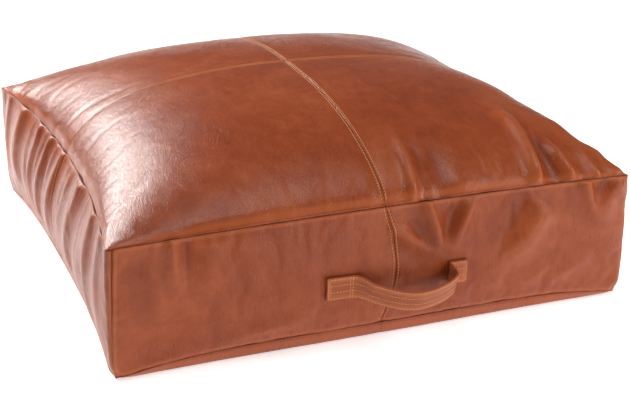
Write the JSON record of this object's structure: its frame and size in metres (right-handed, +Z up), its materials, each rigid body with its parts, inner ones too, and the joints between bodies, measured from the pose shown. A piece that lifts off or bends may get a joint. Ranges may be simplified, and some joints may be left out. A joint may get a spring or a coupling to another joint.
{
  "type": "square leather floor pouf",
  "caption": "Square stuffed leather floor pouf with a panelled domed top, upright sewn sides, a carrying handle on the front and a zip underneath.",
  "frame": {"origin": "on the floor at the middle of the bounding box, 25 mm in front of the middle of the cushion because the handle stands out at the front", "axes": "+Z up, -Y out of the front side that carries the handle, +X to the right as seen from the front"},
  "size_m": [0.709, 0.7705, 0.274],
  "materials": {
    "cover_leather": "satin",
    "strap_leather": "satin",
    "patch_leather": "matte",
    "liner_cloth": "matte",
    "fibre": "matte",
    "zip_tape": "matte",
    "zip_nylon": "satin",
    "zip_brass": "satin"
  },
  "bodies": {
    "cover": {"top_front_left": "cover_leather", "top_front_right": "cover_leather", "top_back_left": "cover_leather", "top_back_right": "cover_leather", "bottom_front_left": "cover_leather", "bottom_front_right": "cover_leather", "bottom_back_left": "cover_leather", "bottom_back_right": "cover_leather", "side_front_left": "cover_leather", "side_front_right": "cover_leather", "side_right_front": "cover_leather", "side_right_back": "cover_leather", "side_back_left": "cover_leather", "side_back_right": "cover_leather", "side_left_front": "cover_leather", "side_left_back": "cover_leather", "handle_end_left": "strap_leather", "handle_end_right": "strap_leather", "handle_patch_left": "patch_leather", "handle_patch_right": "patch_leather", "liner_top": "liner_cloth", "liner_bottom": "liner_cloth", "liner_front": "liner_cloth", "liner_right": "liner_cloth", "liner_back": "liner_cloth", "liner_left": "liner_cloth", "fibre_filling": "fibre", "zip_tape_front": "zip_tape", "zip_tape_back": "zip_tape", "zip_teeth_front": "zip_nylon", "zip_teeth_back": "zip_nylon", "zip_stop_left": "zip_brass", "zip_stop_right": "zip_brass"},
    "handle": {"handle_grip": "strap_leather"},
    "zip_slider": {"zip_slider": "zip_brass"},
    "zip_pull": {"zip_pull": "zip_brass"}
  },
  "joints": [
    {"name": "handle_lift", "type": "hinge", "parent": "cover", "child": "handle", "pos_m": [0.016, -0.3413, 0.084], "axis": [-1, 0, 0], "range_deg": [0, 55]},
    {"name": "zip_slide", "type": "slide", "parent": "cover", "child": "zip_slider", "axis": [1, 0, 0], "range_m": [0, 0.408]},
    {"name": "zip_pull_swing", "type": "hinge", "parent": "zip_slider", "child": "zip_pull", "pos_m": [-0.204, 0.025, 0.0054], "axis": [0, 1, 0], "range_deg": [-6, 160]}
  ]
}
